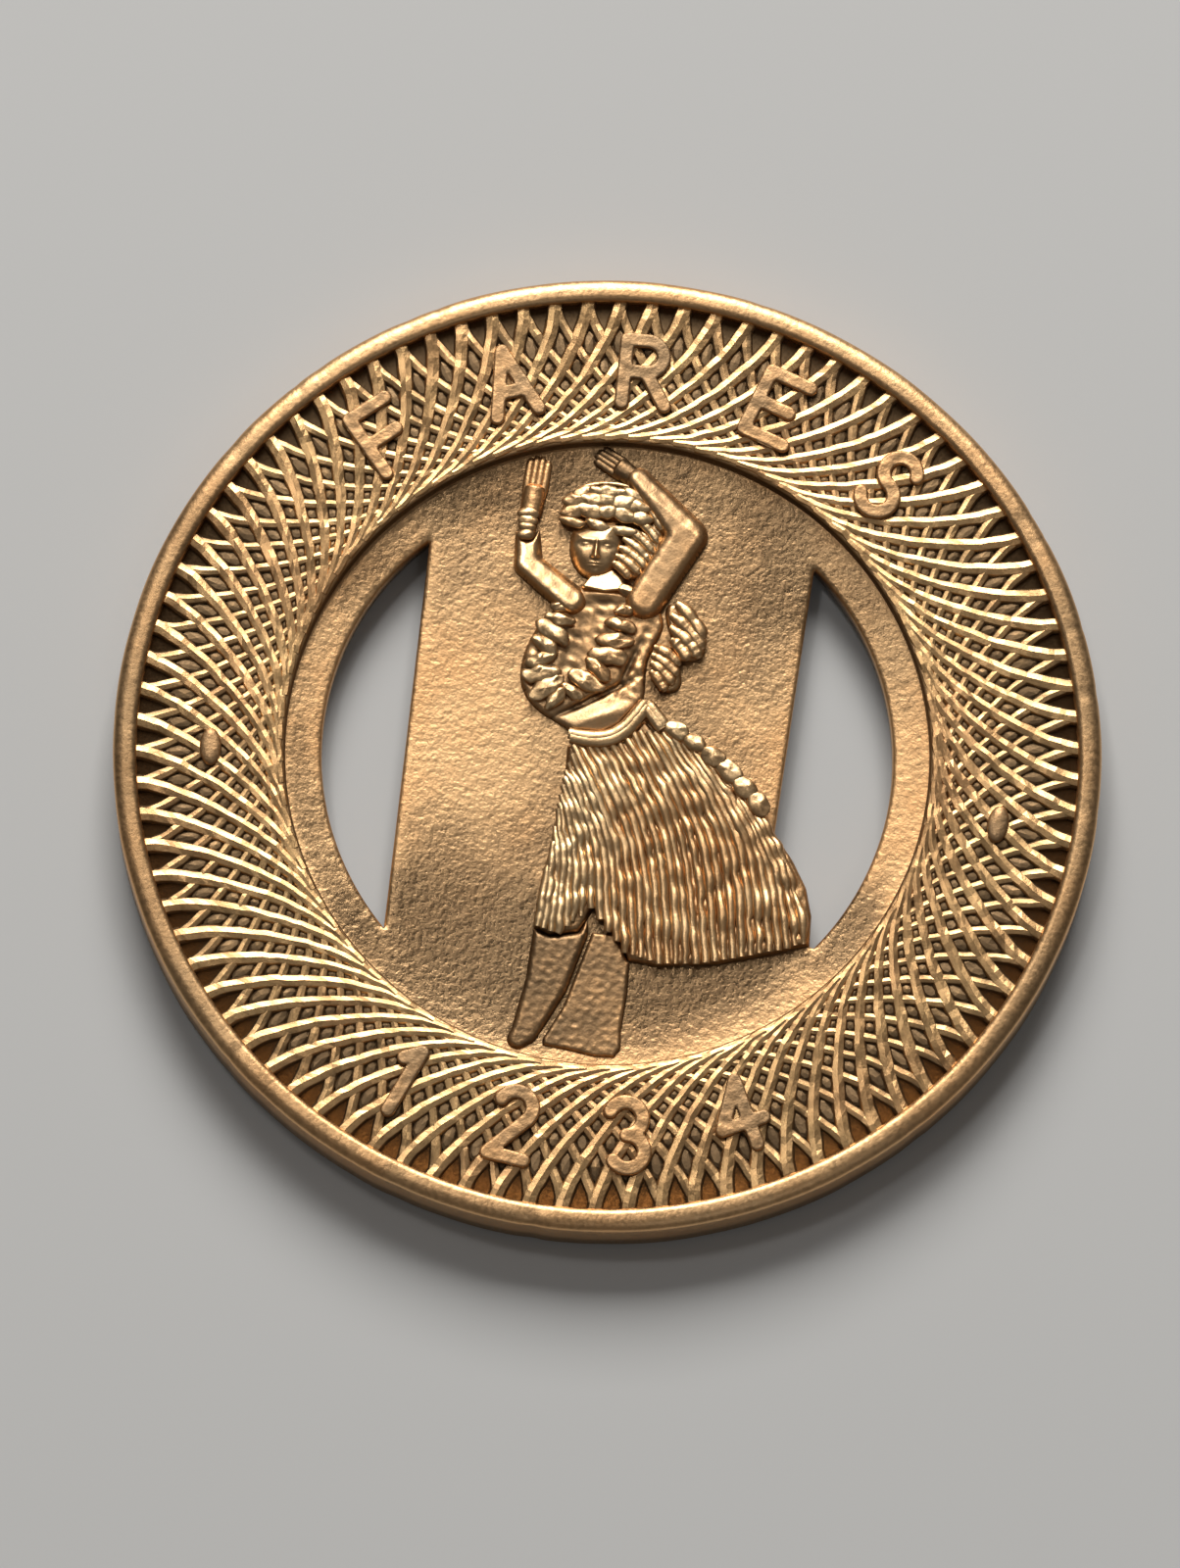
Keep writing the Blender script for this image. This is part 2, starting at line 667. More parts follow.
pebble_count = ridges.times(g["Rows"], g["Ribs"])
pebble_spots = ridges.node("GeometryNodePoints", {"Count": pebble_count}).outputs[0]
row = ridges.plus(ridges.maths("FLOOR", ridges.maths("DIVIDE", index, g["Ribs"])), 1.0)


def row_radius(shift):
    """Radius at which the ribs have turned by a whole number of half steps."""
    turned_by = ridges.maths("DIVIDE", ridges.times(ridges.plus(row, shift), step), 2.0)
    left = ridges.minus(1.0, ridges.maths("MINIMUM", ridges.maths("DIVIDE", turned_by, g["Sweep"]), 1.0))
    inward = ridges.maths("POWER", ridges.minus(1.0, ridges.times(left, left)), 2 / 3)
    return ridges.minus(g["Rim_radius"], ridges.times(run, inward))


middle = row_radius(0.0)
tall = ridges.minus(row_radius(-1.0), row_radius(1.0))
wide = ridges.times(middle, step)
half_steps = ridges.maths("DIVIDE", ridges.plus(row, 1.0), 2.0)
around = ridges.times(step, ridges.plus(index, half_steps))
x = ridges.times(middle, ridges.maths("SINE", around))
y = ridges.times(middle, ridges.maths("COSINE", around))
placed = {"Geometry": pebble_spots, "Position": ridges.vector(x, y, g["Foot"])}
pebble_spots = ridges.node("GeometryNodeSetPosition", placed).outputs[0]
pebble = ridges.node("GeometryNodeMeshUVSphere", {"Segments": 8, "Rings": 4, "Radius": 1.0}).outputs[0]
pebble_size = ridges.vector(
    ridges.times(wide, g["Pebble"]), ridges.times(tall, g["Pebble"]), ridges.times(g["Height"], PEBBLE_HEIGHT)
)
pebble_turn = ridges.vector(z=ridges.times(around, -1.0))
pebble_copies = ridges.node(
    "GeometryNodeInstanceOnPoints",
    {"Points": pebble_spots, "Instance": pebble, "Rotation": pebble_turn, "Scale": pebble_size},
)
everything = ridges.node("GeometryNodeJoinGeometry")
ridges.put(everything.inputs[0], copies.outputs[0])
ridges.put(everything.inputs[0], pebble_copies.outputs[0])
ridges.end(ridges.uneven(everything.outputs[0], 0.42, g["Wander"]))

rib_height = ridge_top - ridge_foot - 0.03
for name, node, foot, lift, finish, side in (
    ("front_ridges", "front_ridge_band", ridge_foot, 0.05, ridge_finish, 1),
    ("back_ridges", "back_ridge_band", back_ridge_foot, -0.05, back_ridge_finish, -1),
):
    start = link(name, bpy.data.meshes.new(name))
    piece = ridges.make(
        start,
        Ribs=90, Rim_radius=(rim_inner + 0.03) * MM, Inner_radius=(field_radius + 0.14) * MM,
        Sweep=radians(22), Half_width=0.20 * MM, Height=rib_height * MM, Foot=foot * MM, Lift=lift * MM,
        Inner_share=0.56, Second_share=0.74, Pebble=0.21, Rows=9, Wander=0.09 * MM, Finish=finish,
    )
    finish_piece(piece, [node], smooth=None, side=side, sharpness=6)

# %% [markdown]
# Flat shapes with a free outline come next: the field with its two windows, the letters and the figure.
# A struck surface is a landscape, with one height over each spot. So each of these is an outline filled
# with small triangles whose points are raised by a rule. The outline is read from the CAD node's top
# face. Rings of points close to the edge keep the shoulder round.

# %% Outlines
def outline_of(node):
    """Closed loops round the top face of a CAD node, in millimetres."""
    shape = bmesh.new()
    shape.from_mesh(frame["nodes"][node].data)
    bmesh.ops.remove_doubles(shape, verts=shape.verts, dist=0.0005 * MM)
    top = max(v.co.z for v in shape.verts)
    flat = {f for f in shape.faces if all(top - v.co.z < 0.001 * MM for v in f.verts)}
    ways = {}
    for edge in shape.edges:
        if sum(f in flat for f in edge.link_faces) == 1:
            one, other = edge.verts
            ways.setdefault(one, []).append(other)
            ways.setdefault(other, []).append(one)
    loops = []
    while ways:
        start = next(iter(ways))
        loop, here = [start], ways[start][0]
        while here is not start:
            loop.append(here)
            here = next(v for v in ways[here] if v is not loop[-2])
        for v in loop:
            del ways[v]
        loops.append(np.array([(v.co.x / MM, v.co.y / MM) for v in loop]))
    shape.free()
    return sorted(loops, key=len, reverse=True)


def evenly(loop, spacing, closed=True):
    """Points at an even spacing along a line."""
    line = np.vstack([loop, loop[:1]]) if closed else np.asarray(loop, float)
    length = np.r_[0, np.cumsum(np.hypot(*np.diff(line, axis=0).T))]
    count = max(int(round(length[-1] / spacing)), 6)
    stops = np.linspace(0, length[-1], count + (not closed), endpoint=not closed)
    return np.stack([np.interp(stops, length, line[:, k]) for k in (0, 1)], -1)


def inside(points, loops):
    """Whether each point is inside the loops, by the even-odd rule."""
    found = np.zeros(len(points), bool)
    x, y = points[:, :1], points[:, 1:]
    for loop in loops:
        (x1, y1), (x2, y2) = loop.T, np.roll(loop, -1, 0).T
        rise = np.where(y1 == y2, 1e-12, y2 - y1)
        crossing = ((y1 > y) != (y2 > y)) & (x < (x2 - x1) * (y - y1) / rise + x1)
        found ^= crossing.sum(1) % 2 == 1
    return found


def reach(points, loops):
    """Distance from each point to the nearest loop."""
    best = np.full(len(points), 1e9)
    for loop in loops:
        start, run = loop, np.roll(loop, -1, 0) - loop
        long = np.maximum((run**2).sum(1), 1e-12)
        for first in range(0, len(points), 4000):
            part = points[first : first + 4000, None, :]
            t = np.clip(((part - start) * run).sum(2) / long, 0, 1)[..., None]
            gap = part - (start + t * run)
            nearest = np.sqrt((gap**2).sum(2)).min(1)
            best[first : first + 4000] = np.minimum(best[first : first + 4000], nearest)
    return best


print("outline of the torso:", [len(loop) for loop in outline_of("dancer_torso")])

# %% [markdown]
# Now the filling. A plain grid of points would leave a stair-stepped edge, and a sculpted sheet would lose
# the outline, so the points are the outline, rings just inside it and a grid further in. A Delaunay
# triangulation joins them, which gives even triangles without slivers. The underside is either a second
# landscape or a flat floor with few triangles, and a wall round the edge closes the piece.

# %% Landscape helper
def landscape(name, loops, height, under, spacing=0.05, shoulders=(0.02, 0.05, 0.09), edge_spacing=None):
    """A closed piece over loops: height(x, y, d) on top, under(x, y, d) or a number below."""
    edge_spacing = edge_spacing or spacing
    loops = [evenly(loop, edge_spacing) for loop in loops]
    points, edges = [], []
    for loop in loops:
        first = sum(len(p) for p in points)
        points.append(loop)
        edges += [(first + i, first + (i + 1) % len(loop)) for i in range(len(loop))]
    for offset in shoulders:
        for loop in loops:
            way = np.roll(loop, -1, 0) - np.roll(loop, 1, 0)
            way = np.stack([-way[:, 1], way[:, 0]], -1) / np.maximum(np.hypot(*way.T), 1e-9)[:, None]
            for side in (1, -1):
                moved = loop + way * offset * side
                moved = moved[inside(moved, loops)]
                if len(moved):
                    points.append(moved[reach(moved, loops) > offset * 0.9])
    low, high = np.vstack(loops).min(0), np.vstack(loops).max(0)
    rows = np.arange(low[1], high[1], spacing * 0.866)
    columns = np.arange(low[0], high[0], spacing)
    grid = np.array([(x + (k % 2) * spacing / 2, y) for k, y in enumerate(rows) for x in columns])
    grid = grid[inside(grid, loops)]
    grid = grid[reach(grid, loops) > max(shoulders, default=0) + spacing * 0.45]
    points.append(grid)
    flat = np.vstack(points)
    corners, _, faces, *_ = delaunay_2d_cdt([Vector(p) for p in flat], edges, [], 0, 1e-6, False)
    corners = np.array([tuple(v) for v in corners])
    faces = np.array([f for f in faces if len(f) == 3])
    faces = faces[inside(corners[faces].mean(1), loops)]
    d = reach(corners, loops)
    d[d < 1e-4] = 0
    top = np.column_stack([corners, height(corners[:, 0], corners[:, 1], d)])
    sides = np.sort(np.vstack([faces[:, [0, 1]], faces[:, [1, 2]], faces[:, [2, 0]]]), axis=1)
    pairs, uses = np.unique(sides, axis=0, return_counts=True)
    wall = pairs[uses == 1]
    count = len(corners)
    if callable(under):
        bottom = np.column_stack([corners, under(corners[:, 0], corners[:, 1], d)])
        lower_faces = (faces[:, ::-1] + count).tolist()
    else:
        bottom = np.column_stack([corners, np.full(count, under)])
        ring, edges_below = np.unique(wall, return_inverse=True)
        edges_below = edges_below.reshape(-1, 2)
        _, _, below, origin, *_ = delaunay_2d_cdt(
            [Vector(p) for p in corners[ring]], [tuple(e) for e in edges_below.tolist()], [], 0, 1e-7, True
        )
        origin = [o[0] for o in origin]
        below = np.array([[ring[origin[i]] for i in f] for f in below if len(f) == 3])
        below = below[inside(corners[below].mean(1), loops)]
        lower_faces = (below[:, ::-1] + count).tolist()
    walls = [(a, b, b + count, a + count) for a, b in wall.tolist()]
    piece = mesh_piece(name, np.vstack([top, bottom]), faces.tolist() + lower_faces + walls)
    loose = bmesh.new()
    loose.from_mesh(piece.data)
    bmesh.ops.delete(loose, geom=[v for v in loose.verts if not v.link_faces], context="VERTS")
    bmesh.ops.recalc_face_normals(loose, faces=loose.faces)
    if loose.calc_volume(signed=True) < 0:
        bmesh.ops.reverse_faces(loose, faces=loose.faces)
    loose.to_mesh(piece.data)
    loose.free()
    return piece


def rounded(d, width):
    """0 at the edge rising like a quarter circle to 1 at width inside it."""
    t = np.clip(d / width, 0, 1)
    return np.sqrt(np.maximum(1 - (1 - t) ** 2, 0))


print("a rounded shoulder from edge to width:", [round(float(rounded(d, 1.0)), 2) for d in (0, 0.5, 1)])

# %% [markdown]
# The field is thin, so the dies leave it slightly dished: it climbs towards the ring, rolls off at the
# windows where the punch went through, and waves a little. Those gentle slopes are what paint the soft
# bright and dark patches on it, because a polished slope shows the lamp only where it faces it.

# %% Field with its two windows
ledge_inner = outline_of("field_ledge")
field_edge = [(sin(a), cos(a)) for a in np.linspace(0, 2 * pi, 720)[:-1]]
round_field = [(field_radius + 0.01) * np.array(field_edge)]
window_radius = min(np.hypot(*loop.T).mean() for loop in ledge_inner)
plate = outline_of("center_plate")[0]
angle = np.linspace(0, 2 * pi, 1441)[:-1]
window_circle = window_radius * np.stack([np.cos(angle), np.sin(angle)], -1)


def window(side):
    """The opening on one side of the bar: the window circle cut along the bar's edge."""
    on_circle = np.hypot(*plate.T) > window_radius - 0.004
    keep = [p for p, rim in zip(plate, on_circle) if not rim and p[0] * side > 0]
    ends = [p for p, rim in zip(plate, on_circle) if rim and p[0] * side > 0]
    gap = window_circle[window_circle[:, 0] * side > 0]
    free = gap[~inside(gap * 0.995, [plate])]
    free = free[np.argsort(free[:, 1])]
    bar_edge = sorted(keep, key=lambda p: -p[1])
    return np.vstack([free] + ([bar_edge] if bar_edge else []))


windows = [window(-1), window(1)]
print("windows", [[tuple(np.round(w.min(0), 2)), tuple(np.round(w.max(0), 2))] for w in windows])


def field_front(x, y, d):
    """Height of the front of the field."""
    r = np.hypot(x, y)
    dish = 0.08 * np.clip((r - window_radius + 0.35) / (field_radius - window_radius + 0.35), 0, 1) ** 1.6
    waves = 0.010 * ripple(x, y, 4.2, 3) + 0.0015 * ripple(x, y, 0.9, 5)
    edge = -0.09 * (1 - rounded(d, 0.10)) * (r < field_radius - 0.3)
    return field_top + dish + waves + edge


def field_rear(x, y, d):
    """Height of the back of the field."""
    r = np.hypot(x, y)
    dish = 0.08 * np.clip((r - window_radius) / (field_radius - window_radius), 0, 1) ** 1.6
    edge = 0.03 * (1 - rounded(d, 0.06)) * (r < field_radius - 0.3)
    return field_back - dish + 0.006 * ripple(x, y, 4.0, 8) + edge


field = landscape(
    "dished_field", round_field + windows, field_front, field_rear, spacing=0.13, edge_spacing=0.07,
    shoulders=(0.02, 0.05, 0.10),
)


def field_tone(x, y):
    """Where the field is rubbed bright and where it has toned brown."""
    tone = 0.84 + 0.46 * hump(x, y, (-3.6, 0.4), (1.9, 2.3)) + 0.22 * hump(x, y, (3.6, 0.8), (1.0, 2.4))
    tone = tone + 0.30 * hump(x, y, (4.2, -5.8), (2.0, 0.50), 36) + 0.24 * hump(x, y, (0.0, -7.3), (3.0, 0.2))
    tone = tone + 0.35 * hump(x, y, (7.0, -0.4), (0.7, 2.6)) + 0.30 * hump(x, y, (-6.9, 1.6), (0.7, 1.8))
    for centre, size, depth in (
        ((2.8, -5.4), (3.2, 0.9), 0.34), ((-3.6, -4.4), (2.4, 1.6), 0.34), ((-2.6, 6.4), (4.2, 1.0), 0.16),
        ((3.6, 4.6), (1.2, 2.2), 0.28), ((0.0, -5.6), (2.6, 1.5), 0.26), ((-2.5, -6.4), (2.0, 0.7), 0.26),
        ((6.0, -3.6), (0.8, 1.3), 0.42),
    ):
        tone = tone - depth * hump(x, y, centre, size)
    return tone + 0.07 * ripple(x, y, 1.8, 14) + 0.05 * ripple(x, y, 0.6, 15)


finish_piece(
    field, ["field_ledge", "center_plate"], field_finish, sharpness=5, tone=field_tone
)

# %% [markdown]
# The legend is generic: the word FARES above and the number 1234 below, with a plain pellet at each end.
# Letters are punched flat into the die over the ridges, so they are low, matt and a little uneven, with
# soft edges. A text object would do for a clean sign, but it has sharp edges and a dead flat top. So each
# letter is a landscape on the outline of its CAD node.

# %% Legend
legend_low = ridge_foot + 0.03
legend_names = [n for n in frame["nodes"] if n.startswith(("letter_", "digit_"))]
for number, node in enumerate(sorted(legend_names)):
    letter_top = box_mm(node)[1].z

    def letter_height(x, y, d):
        pits = (1 + ripple(x, y, 0.35, 40 + number)).clip(0, 2)
        return letter_top - 0.05 * (1 - rounded(d, 0.04)) - 0.008 * pits

    letter = landscape("struck_" + node, outline_of(node), letter_height, legend_low, spacing=0.05)
    finish_piece(letter, [node], legend_finish)

pellet_top = box_mm("separator_pellets")[1].z
pellets = landscape(
    "struck_pellets", outline_of("separator_pellets"),
    lambda x, y, d: pellet_top - 0.10 * (1 - rounded(d, 0.22)), legend_low, spacing=0.05,
)
finish_piece(pellets, ["separator_pellets"], legend_finish)

# %% [markdown]
# The dancer is in low relief. A full figure pressed flat would lose its outline at this height, so the
# arms, legs and body are rounded shapes whose height falls to the field at their outline. That gives each
# one a bright flank towards the lamp and a dark one away from it.

# %% Body and arms
def grown(loop, amount):
    """A closed loop moved outwards."""
    loop = evenly(loop, 0.06)
    way = np.roll(loop, -2, 0) - np.roll(loop, 2, 0)
    way = np.stack([way[:, 1], -way[:, 0]], -1) / np.hypot(*way.T)[:, None]
    x, y = loop.T
    double_area = np.sum(x * np.roll(y, -1) - np.roll(x, -1) * y)
    return loop + way * amount * np.sign(double_area)


def limb(name, node, rise, width, extra=None, spacing=0.05, finish=figure_finish, grow=0.0, tone=None):
    """A rounded part of the figure on its CAD outline, or a little beyond it."""

    def height(x, y, d):
        z = field_top + rise * rounded(d, width)
        return z if extra is None else z + extra(x, y, d)

    loops = [grown(loop, grow) if grow else loop for loop in outline_of(node)]
    piece = landscape(
        name, loops, height, field_top - 0.05, spacing=spacing, edge_spacing=0.035,
        shoulders=(0.012, 0.03, 0.055, 0.085, 0.12),
    )
    return finish_piece(piece, [node], finish, tone=tone)


def body_shape(x, y, d):
    """Chest and waist: a hollow between the garlands, a fold under them and a smooth belly."""
    belly = 0.10 * hump(x, y, (-0.35, 0.80), (0.7, 0.20), 24)
    hollow = -0.07 * hump(x, y, (-0.95, 2.30), (0.42, 1.10), 0)
    fold = -0.20 * hump(x, y, (-0.45, 1.30), (0.90, 0.07), 32)
    flank = -0.10 * hump(x, y, (0.28, 2.1), (0.07, 0.7), -20)
    collar = 0.10 * hump(x, y, (-0.45, 3.80), (0.40, 0.12)) - 0.12 * np.clip((y - 3.8) / 0.5, 0, 1)
    mottled = 0.018 * ripple(x, y, 0.28, 21) * (y > 1.3) * (y < 3.7)
    return belly + hollow + fold + flank + collar + mottled


def leaning(centre, way, depth):
    """A slope across an arm: high on one side of its centre line and low on the other."""

    def slope(x, y, d):
        across = (x - centre[0]) * way[0] + (y - centre[1]) * way[1]
        return (0.006 * ripple(x, y, 0.34, 23) - depth * np.clip(across / 0.30, -1, 1)) * rounded(d, 0.10)

    return slope


limb("dancer_body", "dancer_torso", 0.16, 0.16, body_shape, finish=torso_finish)
limb("arm_open", "open_arm", 0.30, 0.24, leaning((-1.75, 4.08), (0.58, 0.81), 0.09), grow=0.03)
raised_lean = leaning((0.66, 6.42), (0.59, 0.81), 0.10)
limb("arm_raised", "raised_arm", 0.32, 0.26, raised_lean, finish=torso_finish, grow=0.02)

# %% [markdown]
# The throat is a small smooth patch between chin and collar. It leans back towards the head, so it
# catches more light than anything near it. It could be part of the body, but the collar's edge would then
# be lost, so it is a piece of its own.

# %% Neck
neck_line = np.array(
    [(-0.98, 3.92), (-0.82, 4.22), (-0.62, 4.46), (-0.28, 4.46), (-0.10, 4.24), (0.06, 3.96), (-0.45, 3.84)]
)


def neck_height(x, y, d):
    """Highest at the collar, falling towards the chin."""
    return field_top + 0.30 - 0.32 * (y - 3.85) + 0.03 * rounded(d, 0.06)


neck = landscape("dancer_neck", [neck_line], neck_height, field_top - 0.02, spacing=0.05)
finish_piece(neck, [], figure_finish)

# %% [markdown]
# Two legs show under the skirt as flat tapering shapes, the front one over the rear one. They are pressed
# matt and dimpled, which sets them off from the smooth field. The same limb rule makes them, only lower.

# %% Legs
def leg_tone(x, y):
    """Legs are a little browner than the skirt."""
    return 0.72 + 0.08 * ripple(x, y, 0.7, 19)


def matt_cloth(x, y, d):
    """The faint dimples of cloth."""
    return 0.007 * ripple(x, y, 0.17, 12) * rounded(d, 0.2)


limb("leg_front", "front_leg", 0.20, 0.16, matt_cloth, finish=cloth_finish, tone=leg_tone)
limb("leg_rear", "rear_leg", 0.13, 0.10, matt_cloth, finish=cloth_finish, tone=leg_tone)

# %% [markdown]
# The face is plain and calm. It is set out from the head's own size on the usual thirds: brow, foot of
# the nose and chin, with the eyes a little under the brow and the mouth a third of the way to the chin.
# At this size each feature is only a soft hump or hollow, so a height rule does what sculpting would do.

# %% Head and face
head_low, head_high = box_mm("dancer_head")
face_x = (head_low.x + head_high.x) / 2
face_foot = head_low.y
face_width = head_high.x - head_low.x
face_length = 1.34
brow_y = face_foot + face_length * 0.655
nose_y = face_foot + face_length * 0.345
eye_y = brow_y - face_length * 0.075
mouth_y = nose_y - face_length * 0.115
eye_gap = face_width * 0.215


def face_height(x, y, d):
    """A rounded head with brow, eyes, nose, cheeks, mouth and chin."""
    z = field_top + 0.40 * rounded(d, 0.55)
    z = z + 0.030 * hump(x, y, (face_x, brow_y), (0.42, 0.07))
    z = z + 0.035 * hump(x, y, (face_x, face_foot + 0.13), (0.16, 0.10))
    for side in (-1, 1):
        eye = face_x + side * eye_gap
        z = z - 0.075 * hump(x, y, (eye, eye_y), (0.15, 0.085))
        z = z + 0.070 * hump(x, y, (eye, eye_y - 0.005), (0.085, 0.042))
        z = z - 0.022 * hump(x, y, (eye, eye_y - 0.012), (0.090, 0.010))
        z = z + 0.035 * hump(x, y, (face_x + side * 0.36, nose_y + 0.04), (0.15, 0.16))
        z = z + 0.030 * hump(x, y, (face_x + side * 0.070, nose_y + 0.02), (0.035, 0.035))
    along_nose = np.clip((brow_y - y) / (brow_y - nose_y), 0, 1)
    inside_nose = (y < brow_y) * (y > nose_y - 0.03)
    nose = np.exp(-(((x - face_x) / (0.035 + 0.03 * along_nose)) ** 2))
    z = z + (0.03 + 0.085 * along_nose) * nose * inside_nose
    z = z + 0.035 * hump(x, y, (face_x, mouth_y + 0.028), (0.12, 0.024))
    z = z + 0.042 * hump(x, y, (face_x, mouth_y - 0.035), (0.10, 0.030))
    z = z - 0.040 * hump(x, y, (face_x, mouth_y), (0.13, 0.010))
    return z


head_outline = outline_of("dancer_head")
head = landscape("dancer_head_and_face", head_outline, face_height, field_top - 0.05, spacing=0.022)
finish_piece(head, ["dancer_head", "dancer_face"], figure_finish, sharpness=8)

# %% [markdown]
# Hair, the leaf skirt and the fingers are bundles of strands. Each strand is a guide line with a swept
# oval section. One recipe sweeps them all. It thins the strand at its root, swells it into lumps and
# lets it wander, all from a fixed seed, so no two strands match and every run gives the same ones.

# %% Strand recipe
strands = Recipe(
    "strands", True,
    Flatness="float", Root_share="float", Tip_share="float", Lump_depth="float", Lump_size="float",
    Wander="float", Seed="float", Finish="material",
)
g = strands.given
guide = strands.node("GeometryNodeResampleCurve", {"Curve": g["Shape"], "Count": 40}).outputs[0]
along = strands.node("GeometryNodeSplineParameter").outputs["Factor"]
spot = strands.node("GeometryNodeInputPosition").outputs[0]


def strand_noise(size, detail):
    """Noise of a size that changes with the seed."""
    inputs = {"W": g["Seed"], "Vector": spot, "Scale": strands.maths("DIVIDE", 1.0, size), "Detail": detail}
    return strands.node("ShaderNodeTexNoise", inputs, noise_dimensions="4D").outputs


def taper(start, end, first, last):
    """A share of the thickness that changes smoothly along part of the strand."""
    inputs = {0: along, 1: start, 2: end, 3: first, 4: last}
    return strands.node("ShaderNodeMapRange", inputs, interpolation_type="SMOOTHSTEP").outputs[0]


guide = strands.moved(guide, strand_noise(g["Lump_size"], 1.0)["Color"], g["Wander"])
ends = strands.times(taper(0.0, 0.25, g["Root_share"], 1.0), taper(0.88, 1.0, 1.0, g["Tip_share"]))
lumps = strands.minus(strand_noise(g["Lump_size"], 2.0)["Fac"], 0.5)
lumps = strands.plus(1.0, strands.times(lumps, g["Lump_depth"]))
own = strands.node("GeometryNodeInputRadius").outputs[0]
thickness = strands.times(strands.times(own, lumps), ends)
strands.end(strands.sweep(guide, strands.circle(10, 1.0, g["Flatness"]), thickness))


def guide_lines(name, lines):
    """A curve object with a smooth line for each list of (x, y, z) points and its radius, in millimetres."""
    data = bpy.data.curves.new(name, "CURVE")
    data.dimensions = "3D"
    data.resolution_u = 8
    for points, radius in lines:
        spline = data.splines.new("NURBS")
        spline.points.add(len(points) - 1)
        for point, place in zip(spline.points, points):
            point.co = (*(c * MM for c in place), 1)
            point.radius = radius * MM
        spline.order_u = min(3, len(points))
        spline.use_endpoint_u = True
    return link(name, data)


print("strand recipe:", len(strands.tree.nodes), "nodes, inputs", ", ".join(strands.ids))

# %% [markdown]
# The skirt hangs from the waist in long narrow leaves. They start along the waist and the hip, and those
# at the right start down the edge of the skirt. Thirty leaves drawn one by one would be slow to change,
# so a few guides set out by hand give the flow, and the strands between them are blended from the two
# nearest. A low ground under them closes the gaps.

# %% Leaf skirt
skirt_flow = [
    [(-1.06, -2.70), (-1.14, -3.30), (-1.16, -3.80), (-1.20, -4.36)],
    [(-1.00, -1.50), (-0.78, -2.40), (-0.72, -3.40), (-0.74, -4.46)],
    [(-0.94, -0.70), (-0.40, -1.70), (-0.12, -2.60), (-0.02, -3.80)],
    [(-0.80, 0.06), (0.00, -1.30), (0.62, -2.70), (0.86, -4.78)],
    [(-0.10, 0.10), (0.80, -1.15), (1.42, -2.80), (1.66, -4.94)],
    [(0.52, 0.56), (1.56, -0.95), (2.26, -2.80), (2.50, -4.86)],
    [(1.24, 0.60), (2.50, -0.98), (3.18, -2.90), (3.36, -4.66)],
    [(2.20, 0.14), (3.36, -1.25), (4.00, -2.90), (4.18, -4.40)],
    [(3.56, -0.96), (4.16, -1.90), (4.74, -3.00), (4.98, -4.12)],
]
skirt_share = [3, 4, 4, 4, 4, 4, 4, 4]
skirt_rise = 0.20


def skirt_height(x, y, d):
    """The low ground under the leaves."""
    return field_top + skirt_rise * rounded(d, 0.12) + 0.02 * ripple(x, y, 0.3, 31)


skirt_base = landscape("skirt_ground", outline_of("leaf_skirt"), skirt_height, field_top - 0.05, spacing=0.08)
finish_piece(skirt_base, ["leaf_skirt"], cloth_finish)

leaves = []
flow = np.array(skirt_flow)
for number, share in enumerate(skirt_share):
    for k in range(share):
        t = k / share
        line = flow[number] * (1 - t) + flow[number + 1] * t
        rise = field_top + skirt_rise + 0.01 + 0.02 * ((number + k) % 2)
        leaves.append(([(x, y, rise) for x, y in line], 0.112))
leaves.append(([(x, y, field_top + skirt_rise) for x, y in flow[-1]], 0.10))
skirt_leaves = strands.make(
    guide_lines("skirt_leaves", leaves),
    Flatness=0.66, Root_share=0.7, Tip_share=0.7, Lump_depth=1.7, Lump_size=0.38 * MM, Wander=0.17 * MM,
    Seed=4.0, Finish=figure_finish,
)
finish_piece(skirt_leaves, [], sharpness=8)

# %% [markdown]
# The waistband is a cord of two turns that dips at the front and peaks at the hip. The hands are a palm
# and fingers. Both could be landscapes, but round things that lie side by side need a crease between
# them, and swept strands have one of their own accord.

# %% Waistband and hands
waist_line = [(-0.92, 0.30), (-0.45, 0.24), (0.00, 0.30), (0.36, 0.56), (0.60, 0.92), (0.78, 1.22)]
hip_line = [(0.78, 1.22), (0.98, 1.00), (1.24, 0.70)]
band_rise = field_top + 0.27
cords = []
for shift in (-0.045, 0.045):
    cords.append(([(x - shift * 0.5, y + shift, band_rise) for x, y in waist_line], 0.155))
    cords.append(([(x + shift * 0.6, y + shift, band_rise) for x, y in hip_line], 0.145))
waistband = strands.make(
    guide_lines("waist_cords", cords),
    Flatness=0.6, Root_share=0.9, Tip_share=0.9, Lump_depth=0.25, Lump_size=0.3 * MM, Wander=0.02 * MM,
    Seed=2.0, Finish=figure_finish,
)
finish_piece(waistband, ["waistband"], sharpness=8)


